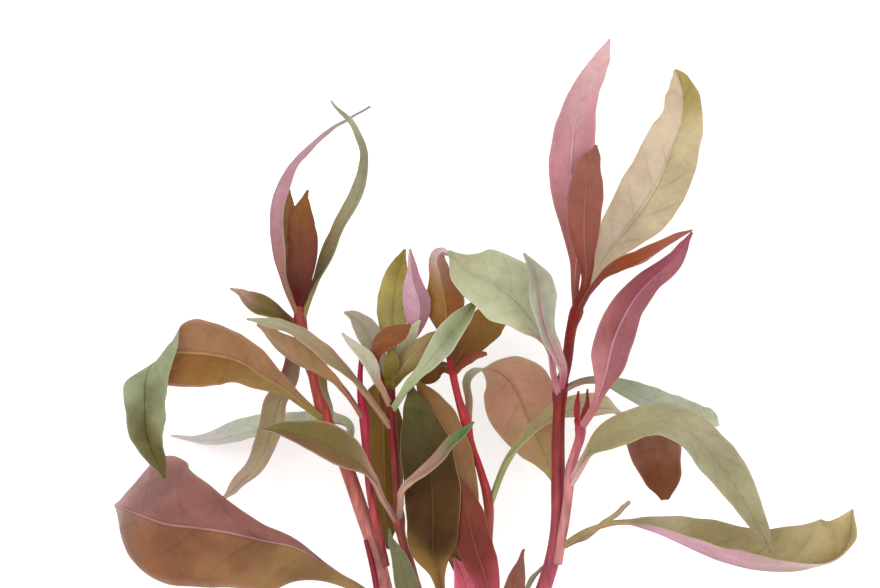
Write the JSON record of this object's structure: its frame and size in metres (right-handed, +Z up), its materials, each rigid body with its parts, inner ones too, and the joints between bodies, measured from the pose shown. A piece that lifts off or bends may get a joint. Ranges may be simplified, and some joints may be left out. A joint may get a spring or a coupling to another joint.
{
  "type": "aquarium plant",
  "caption": "bushy aquarium plant with several red-stemmed shoots and pointed green, brown and rose leaves, lying on its back as pulled up, joined at one cut base",
  "frame": {"origin": "middle of the surface the plant lies on, under the middle of its box", "axes": "+Y runs from the cut base to the leaf tips, +X to the right of the front, +Z up from the surface, towards the front of the plant"},
  "size_m": [0.1854, 0.1948, 0.0622],
  "materials": {
    "stem": "satin",
    "green_leaf": "satin",
    "olive_leaf": "satin",
    "brown_leaf": "satin",
    "tan_leaf": "satin",
    "rose_leaf": "satin",
    "dark_leaf": "satin",
    "maroon_leaf": "satin"
  },
  "bodies": {
    "root": {"stem_main": "stem", "stem_right_side": "stem", "stem_middle": "stem", "stem_centre": "stem", "stem_left": "stem", "stem_left_thin": "stem", "stem_left_shoot": "stem", "leaf_left_whip": "rose_leaf", "leaf_left_olive": "olive_leaf", "leaf_left_young": "brown_leaf", "leaf_left_young_back": "brown_leaf", "leaf_left_hooked": "olive_leaf", "leaf_left_pale": "green_leaf", "leaf_left_under": "tan_leaf", "leaf_left_curled": "green_leaf", "leaf_left_low": "rose_leaf", "leaf_left_back": "green_leaf", "leaf_left_hanging": "olive_leaf", "leaf_left_mid": "olive_leaf", "leaf_left_strip": "green_leaf", "leaf_centre_pale_tip": "green_leaf", "leaf_centre_grey_tip": "green_leaf", "leaf_centre_orange": "tan_leaf", "leaf_centre_brown": "brown_leaf", "leaf_centre_bud": "olive_leaf", "leaf_centre_stub": "green_leaf", "leaf_centre_yellow": "olive_leaf", "leaf_centre_pink": "rose_leaf", "leaf_centre_slanting": "green_leaf", "leaf_centre_golden": "brown_leaf", "leaf_centre_dark": "dark_leaf", "leaf_centre_grey_low": "green_leaf", "leaf_centre_crossing": "green_leaf", "leaf_middle_hooded": "brown_leaf", "leaf_middle_golden": "brown_leaf", "leaf_middle_low_brown": "brown_leaf", "leaf_middle_small_tip": "maroon_leaf", "leaf_middle_behind": "brown_leaf", "leaf_middle_crimson": "maroon_leaf", "leaf_middle_hot_pink": "rose_leaf", "leaf_middle_arched": "tan_leaf", "leaf_middle_passing": "olive_leaf", "leaf_right_pink_top": "rose_leaf", "leaf_right_brown_red": "maroon_leaf", "leaf_right_tall": "green_leaf", "leaf_right_narrow": "maroon_leaf", "leaf_right_magenta": "rose_leaf", "leaf_right_arching": "green_leaf", "leaf_right_back": "green_leaf", "leaf_right_boat": "olive_leaf", "leaf_right_sage": "green_leaf", "leaf_right_folded": "green_leaf", "leaf_right_maroon_tip": "maroon_leaf", "leaf_right_thin_grey": "green_leaf", "leaf_right_spike": "rose_leaf", "leaf_right_bud_a": "maroon_leaf", "leaf_right_bud_b": "maroon_leaf"}
  },
  "joints": []
}
